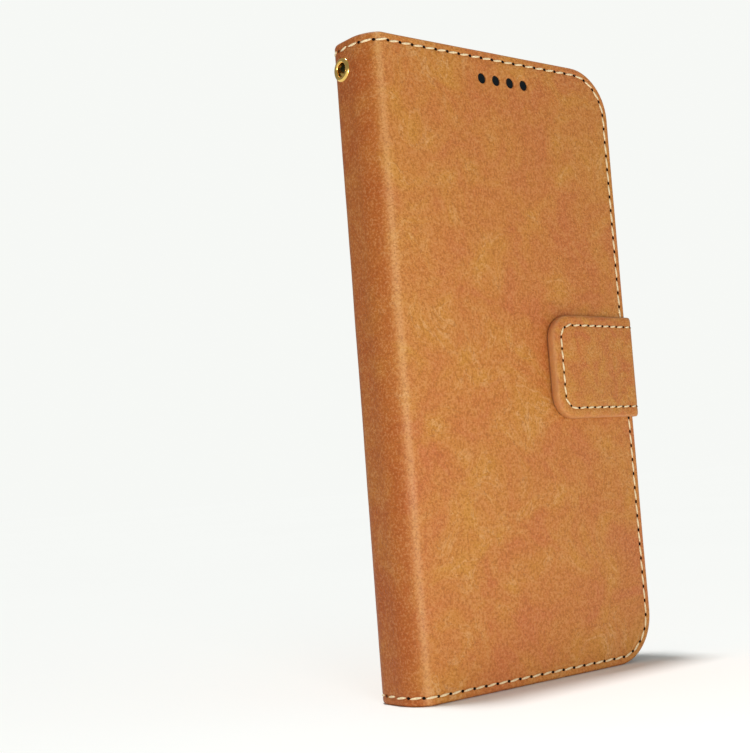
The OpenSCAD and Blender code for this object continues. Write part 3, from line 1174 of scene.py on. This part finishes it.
@dataclass
class Strap:
    """The closing strap: a padded tab with a magnet, and the band that runs round the free edge."""

    wardrobe: Wardrobe
    stitching: Stitching
    sizes: CaseSizes = field(default_factory=CaseSizes)
    low: float = node_box("strap_tab_skin")[0].z
    high: float = node_box("strap_tab_skin")[1].z
    tip: float = node_box("strap_tab_skin")[0].x
    face: float = node_box("strap_tab_skin")[0].y
    outside: float = node_box("strap_band_skin")[1].x - 0.3
    tab_corner: float = 6.5
    fold: float = 2.6
    slope: float = 1.7
    tab_thick: float = 3.2
    band_thick: float = 1.35
    root: float = 7.4
    seam_inset: float = 2.8
    thread_depth: float = 0.16
    split_y: float = -2.5

    FOLD_BEND = ((0.0430, -0.0076, 0), (0.0386, -0.0110, 0))
    ROOT_BEND = ((0.0423, 0.0080, 0), (0.0423, 0.0040, 0))
    OUTER = (
        (4.0, 0.0), (3.5, 0.02), (3.2, 0.08), (2.98, 0.18), (2.8, 0.22), (2.62, 0.18), (2.35, 0.07),
        (2.0, 0.0), (1.3, 0.0), (0.9, 0.06), (0.55, 0.2), (0.25, 0.45), (0.07, 0.75), (0.0, 1.1),
        (0.0, 1.9), (0.04, 2.3), (0.16, 2.52), (0.36, 2.6), (4.0, 2.6),
    )
    LINING = (
        (4.0, 2.62), (0.6, 2.62), (0.42, 2.66), (0.36, 2.8), (0.38, 2.98), (0.5, 3.12), (0.8, 3.2),
        (2.35, 3.2), (2.62, 3.13), (2.8, 3.1), (2.98, 3.13), (3.2, 3.2), (3.9, 3.2),
    )

    def course(self) -> Course:
        """The outer face's path, from the tab's tip round the fold to the root under the back."""
        turn_x = self.outside - self.fold
        turn_y = self.face + self.slope + self.fold
        fold = arc_points(turn_x, turn_y, self.fold, -90, 0, 12)
        ease = [
            (self.outside - 1.6 * smooth(k / 12), self.root - 6.0 + 6.0 * (k / 12)) for k in range(13)
        ]
        marks = [self.tip + (turn_x - self.tip) * k / 16 for k in range(16)]
        rise = [(x, self.face + self.slope * self.taper(x)) for x in marks]
        return Course([*rise, *fold, *ease], 1)

    def taper(self, x: float) -> float:
        """How far the tab has thinned at x, from 0 at its tip to 1 at the fold."""
        thick_to = self.tip + 9.0
        return smooth((x - thick_to) / (self.outside - self.fold - thick_to))

    def thickness(self, s: float) -> float:
        """Thickness of the strap at s along its path."""
        fold_at = self.outside - self.tip - self.fold
        tab = self.tab_thick - (self.slope - 0.05) * self.taper(self.tip + s)
        return tab + (self.band_thick - tab) * smooth((s - fold_at) / 4.5)

    def depth_at(self, s: float, depth: float) -> float:
        """Depth under the path, in proportion to the strap's thickness there."""
        return depth * self.thickness(s) / self.tab_thick

    def crown(self, place: Vector) -> float:
        """How far the padding pushes the tab's face out inside its seam."""
        side = min(place.z - self.low, self.high - place.z)
        end = place.x - self.tip
        inside = smooth((min(side, end) - 3.0) / 3.0) * smooth((self.outside - 4.5 - place.x) / 6.0)
        return 0.12 * inside + 0.4 * wrinkle(place)

    def forms(self, profile: Sequence[Point2]) -> tuple[SheetForm, SheetForm]:
        """The tab and the band, with one section.

        Args:
            profile: their section at the edge.

        Returns:
            The tab's form and the band's.
        """
        course = self.course()
        split = next(
            mark for mark, point in zip(course.marks, course.points) if point.y > self.split_y
        )
        while course(split)[0].y > self.split_y and split > 0:
            split -= 0.1
        fold_at = self.outside - self.tip - self.fold
        tab_marks = [split - (split - fold_at) * k / 18 for k in range(19)]
        tab_marks += [fold_at - (fold_at - self.tab_corner) * k / 12 for k in range(1, 13)]
        band = course.length - split
        tab = SheetForm(
            course, split, self.low, self.high, self.tab_corner, profile, tab_marks,
            self.depth_at, self.crown, rows=20, arc_steps=12, seam_inset=self.seam_inset,
        )
        rest = SheetForm(
            lambda s: course(s + split), band, self.low, self.high, 0.0, profile,
            [band * k / 18 for k in range(18, -1, -1)],
            lambda s, depth: self.depth_at(s + split, depth), self.crown, rows=20,
            seam_inset=self.seam_inset,
        )
        return tab, rest

    def build(self) -> None:
        """Build the strap's leather, lining and stitches."""
        tab, band = self.forms(self.OUTER)
        tab_in, band_in = self.forms(self.LINING)
        half = self.stitching.pitch / 2
        tab_line = trimmed(tab.seam_points(self.seam_inset, self.thread_depth, True), half)
        whole = band.seam_points(self.seam_inset, self.thread_depth, True)
        middle = len(whole) // 2
        band_lines = [trimmed(whole[1:middle], half), trimmed(whole[middle:-1], half)]
        tab_pieces = [
            new_object("strap_tab_leather", tab.build("tab"), self.wardrobe.strap),
            new_object("strap_tab_backing", tab_in.build("tab_backing"), self.wardrobe.lining),
            *self.stitching.sew("strap_tab_seam", [tab_line], self.wardrobe),
        ]
        band_pieces = [
            new_object("strap_band_leather", band.build("band"), self.wardrobe.strap),
            new_object("strap_band_backing", band_in.build("band_backing"), self.wardrobe.lining),
            *self.stitching.sew("strap_band_seam", band_lines, self.wardrobe),
        ]
        for piece in tab_pieces:
            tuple(self.FOLD_BEND[0])
            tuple(self.FOLD_BEND[1])
            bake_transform(piece)
        for piece in band_pieces:
            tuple(self.ROOT_BEND[0])
            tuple(self.ROOT_BEND[1])
            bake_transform(piece)
        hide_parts("strap_tab_skin", "strap_tab_padding")
        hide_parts("strap_tab_lining")
        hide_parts("strap_tab_thread")
        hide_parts("strap_band_skin")
        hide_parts("strap_band_lining")
        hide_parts("strap_band_thread")
        slots = (Slot.OUTER, Slot.INNER, Slot.THREAD)
        for group in (tab_pieces, band_pieces):
            for piece, slot in zip(group, slots):
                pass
            for piece in group:
                log_piece(piece)


# ---------------------------------------------------------------- eyelet, pockets, tray


@dataclass
class Eyelet:
    """Rolled brass eyelet for a wrist cord, turned round an axis along X."""

    wardrobe: Wardrobe
    sizes: CaseSizes = field(default_factory=CaseSizes)
    centre: Point2 = EYELET_PLACE
    steps: int = 40

    SECTION = (
        (1.75, -2.1), (1.75, 0.05), (1.82, 0.26), (2.0, 0.42), (2.3, 0.5), (2.6, 0.46), (2.86, 0.3),
        (3.04, 0.08), (3.1, -0.16), (3.04, -0.36), (2.8, -0.42), (2.15, -0.42), (2.1, -0.6),
        (2.1, -1.55), (2.2, -1.6), (2.75, -1.6), (2.88, -1.66), (2.88, -1.76), (2.75, -1.82),
        (2.55, -1.86), (2.62, -2.0), (2.6, -2.15), (2.45, -2.28), (2.2, -2.3), (1.95, -2.24),
    )

    def build(self) -> None:
        """Turn the section into the eyelet."""
        y, z = self.centre
        points: list[Vector] = []
        faces = []
        count = len(self.SECTION)
        for k in range(self.steps):
            angle = 2 * math.pi * k / self.steps
            for radius, out in self.SECTION:
                points.append(
                    Vector(
                        (self.sizes.spine - out, y + radius * math.cos(angle), z + radius * math.sin(angle))
                    )
                )
        for k in range(self.steps):
            first, second = k * count, (k + 1) % self.steps * count
            for m in range(count):
                n = (m + 1) % count
                faces.append([first + m, first + n, second + n, second + m])
        eyelet = new_object("eyelet_ring", closed_mesh("eyelet", points, faces), self.wardrobe.brass)
        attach(eyelet, "spine")
        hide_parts("eyelet", "eyelet_washer")
        log_piece(eyelet)


@dataclass
class Pockets:
    """The cash sleeve and the card pockets inside the front cover."""

    wardrobe: Wardrobe
    stitching: Stitching
    notch_drop: float = 5.58
    notch_reach: float = 11.7
    corner: float = 1.5
    corner_steps: int = 4
    seam_inset: float = 1.7

    NODES = ("cash_sleeve", "card_pocket_1", "card_pocket_2", "card_pocket_3")
    EDGE = ((0.25, 0.0), (0.06, 0.03), (0.0, 0.14), (0.0, 0.3), (0.06, 0.42), (0.25, 0.45))

    def outline(self, x0: float, z0: float, x1: float, z1: float) -> Callable:
        """A pocket's outline, with a thumb notch in its upper edge.

        Args:
            x0: left side.
            z0: bottom.
            x1: right side.
            z1: top.

        Returns:
            A function from an inset to the outline's points.
        """
        middle = (x0 + x1) / 2

        def at(inset: float) -> list[Point2]:
            """The points of the outline at an inset."""
            line = round_rect(x0, z0, x1, z1, self.corner, self.corner_steps)(inset)
            right, left = line[: self.corner_steps + 1], line[self.corner_steps + 1 :]
            dip = []
            for k in range(25):
                share = k / 24 * 2 - 1
                drop = self.notch_drop * (0.5 + 0.5 * math.cos(math.pi * share))
                dip.append((middle - share * self.notch_reach, z1 - inset - drop))
            return [*right, *dip, *left]

        return at

    def build(self) -> None:
        """Build the pockets and the seam that holds them."""
        tops = []
        for name in self.NODES:
            low, high = node_box(name)
            tops.append((high.z, high.y))
            thick = (high.y - low.y) / self.EDGE[-1][1]

            def place(u: float, v: float, level: float) -> Vector:
                """A point of the pocket."""
                return Vector((u, low.y + level * thick, v))

            sides = (low.x, low.z, high.x, high.z)
            if "card" in name:
                at = self.outline(*sides)
            else:
                at = round_rect(*sides, self.corner, self.corner_steps)
            sheet = new_object(name + "_leather", plate(name, at, self.EDGE, place), self.wardrobe.lining)
            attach(sheet, "front")
            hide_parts(name)
        low, high = node_box("cash_sleeve")
        line = []
        for x, start, end in ((low.x, high.z - 2, low.z), (high.x, low.z, high.z - 2)):
            side = x + self.seam_inset if x == low.x else x - self.seam_inset
            begin, finish = max(start, low.z + self.seam_inset), max(end, low.z + self.seam_inset)
            for k in range(81):
                z = begin + (finish - begin) * k / 80
                y = max([level for top, level in tops if z < top] or [tops[0][1]])
                line.append((Vector((side, y + 0.05, z)), Vector((0, 1, 0))))
        seam = self.stitching.sew("pocket_seam", [line], self.wardrobe)
        for piece in seam:
            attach(piece, "front")
        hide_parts("pocket_seam_thread")
        LOG.info("pockets: %d sheets", len(self.NODES))


@dataclass
class Tray:
    """The soft rubber tray and its button pads, with the edges of a moulding."""

    wardrobe: Wardrobe
    round_edge: float = 0.28
    pad_edge: float = 0.16

    PADS = {
        "power_button_pad": "power_button",
        "volume_up_pad": "volume_up",
        "volume_down_pad": "volume_down",
        "mute_switch_guard": "back",
    }

    def moulding(self, node: str, body: str, width: float) -> None:
        """Stand a moulded copy in for a CAD node.

        Args:
            node: the CAD node.
            body: the body it rides on.
            width: width of its rounded edges.
        """
        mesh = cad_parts[node].data.copy()
        editable = bmesh.new()
        editable.from_mesh(mesh)
        bmesh.ops.remove_doubles(editable, verts=editable.verts, dist=0.002 * MM)
        bmesh.ops.dissolve_limit(
            editable, angle_limit=math.radians(0.5), verts=editable.verts, edges=editable.edges
        )
        editable.to_mesh(mesh)
        editable.free()
        piece = new_object(node + "_moulding", mesh, self.wardrobe.rubber)
        bevel = piece.modifiers.new("edges", "BEVEL")
        bevel.width, bevel.segments, bevel.limit_method = width * MM, 3, "ANGLE"
        bevel.angle_limit, bevel.use_clamp_overlap = math.radians(35), False
        made = evaluated_copy(piece)
        piece.modifiers.clear()
        piece.data = made
        shade_smooth(made)
        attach(piece, body)
        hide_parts(node)
        log_piece(piece)

    def build(self) -> None:
        """Build the tray and its pads."""
        self.moulding("phone_tray", "back", self.round_edge)
        for node, body in self.PADS.items():
            self.moulding(node, body, self.pad_edge)


def dress_cad(wardrobe: Wardrobe) -> None:
    """Give the CAD nodes that stay their finishes.

    Args:
        wardrobe: the materials.
    """
    finishes = {
        "back_board": wardrobe.board,
        "front_board": wardrobe.board,
        "strap_anchor": wardrobe.lining,
        "clasp_plate": wardrobe.steel,
        "strap_magnet": wardrobe.steel,
    }
    for name, material in finishes.items():
        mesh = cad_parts[name].data
        mesh.materials.clear()
        mesh.materials.append(material)


# ---------------------------------------------------------------- studio


@dataclass
class Studio:
    """Camera, floor and soft light."""

    aim: tuple[float, float, float] = (-50.02, -7.0, 74.61)
    azimuth: float = -38.04
    elevation: float = -3.55
    roll: float = -4.3
    distance: float = 312.4
    focal: float = 1302.4
    shift: float = 0.0312
    frame_height: float = 753.0
    sensor: float = 36.0
    white: tuple[float, float, float] = (0.925, 0.94, 0.915)
    dome: float = 0.36
    floor_radius: float = 6.0

    def camera(self) -> None:
        """Set the camera."""
        az, el, roll = (math.radians(v) for v in (self.azimuth, self.elevation, self.roll))
        back = Vector((math.sin(az) * math.cos(el), -math.cos(az) * math.cos(el), math.sin(el)))
        right = Vector((0, 0, 1)).cross(back).normalized()
        up = back.cross(right)
        x = right * math.cos(roll) + up * math.sin(roll)
        y = up * math.cos(roll) - right * math.sin(roll)
        lens = bpy.data.cameras.new("camera")
        lens.sensor_fit, lens.sensor_width, lens.sensor_height = "VERTICAL", self.sensor, self.sensor
        lens.lens = self.focal * self.sensor / self.frame_height
        lens.shift_y = self.shift
        lens.clip_start, lens.clip_end = 0.01, 50.0
        camera = bpy.data.objects.new("camera", lens)
        spot = (Vector(self.aim) + back * self.distance) * MM
        turn = Matrix((x, y, back)).transposed().to_4x4()
        camera.matrix_world = Matrix.Translation(spot) @ turn
        bpy.context.scene.collection.objects.link(camera)
        bpy.context.scene.camera = camera

    def floor(self) -> None:
        """Lay a wide pale floor."""
        editable = bmesh.new()
        bmesh.ops.create_circle(editable, cap_ends=True, radius=self.floor_radius, segments=96)
        mesh = bpy.data.meshes.new("floor")
        editable.to_mesh(mesh)
        editable.free()
        finish = Finish("pale floor", (0.941, 0.951, 0.935), 0.6)
        material, graph, shader = finish.start()
        paper = graph.span(graph.noise(graph.place(), 3.0, 3.0), 0.3, 0.7)
        graph.feed(shader, "Base Color", graph.blend(paper, finish.rgba(0.996), finish.rgba(1.004)))
        shader.inputs["Specular IOR Level"].default_value = 0.0
        floor = new_object("floor", mesh, material)

    def lamp(self, name: str, kind: str, toward: Vector, **settings: float) -> bpy.types.Object:
        """Add a light that shines towards the object.

        Args:
            name: its name.
            kind: Blender's kind of light.
            toward: direction from the object to the light.
            settings: the light's own settings.

        Returns:
            The light's object.
        """
        light = bpy.data.lights.new(name, kind)
        for key, value in settings.items():
            setattr(light, key, value)
        found = bpy.data.objects.new(name, light)
        found.rotation_euler = toward.to_track_quat("Z", "Y").to_euler()
        found.visible_camera = False
        bpy.context.scene.collection.objects.link(found)
        return found

    def sun(self, name: str, toward: tuple[float, float, float], strength: float, spread: float) -> None:
        """Add a distant light of that strength and apparent size in degrees."""
        self.lamp(name, "SUN", Vector(toward), energy=strength, angle=math.radians(spread))

    def panel(self, name: str, place: tuple[float, float, float], power: float, size: float) -> None:
        """Add a square light panel at a place, turned to the middle of the front cover."""
        middle = Vector((0.0, -0.007, 0.08))
        spot = Vector(place)
        self.lamp(name, "AREA", spot - middle, energy=power, size=size).location = spot

    def surroundings(self) -> None:
        """Pale surroundings: bright behind the object, dimmer as a light."""
        world = bpy.data.worlds.new("studio")
        world.use_nodes = True
        bpy.context.scene.world = world
        graph = Graph(world.node_tree)
        shader = next(n for n in world.node_tree.nodes if n.type == "BACKGROUND")
        shader.inputs["Color"].default_value = (*self.white, 1.0)
        seen = graph.add("ShaderNodeLightPath").outputs["Is Camera Ray"]
        graph.feed(shader, "Strength", graph.span(seen, 0.0, 1.0, self.dome, 1.0))

    def build(self) -> None:
        """Build the studio."""
        self.camera()
        self.floor()
        self.surroundings()
        self.sun("overhead", (-0.06, 0.07, 1.0), 2.06, 6)
        self.panel("key", (-0.15, -0.26, 0.045), 0.36, 0.08)
        bpy.context.scene.view_settings.view_transform = "Standard"


def main() -> None:
    """Build the studio and the case."""
    logging.basicConfig(level=logging.INFO, format="%(name)s: %(message)s")
    Studio().build()
    wardrobe = Wardrobe()
    tree = stitch_tree()
    cover_seam = Stitching(tree)
    strap_seam = Stitching(tree, pitch=3.2, thread=2.6, width=0.56, hole=0.7)
    pocket_seam = Stitching(tree, pitch=3.0, thread=2.2, width=0.5, height=0.3, hole=0.4)
    for side in Side:
        Cover(side, wardrobe, cover_seam).build()
    Strap(wardrobe, strap_seam).build()
    Eyelet(wardrobe).build()
    Pockets(wardrobe, pocket_seam).build()
    Tray(wardrobe).build()
    dress_cad(wardrobe)


if __name__ == "__main__":
    main()
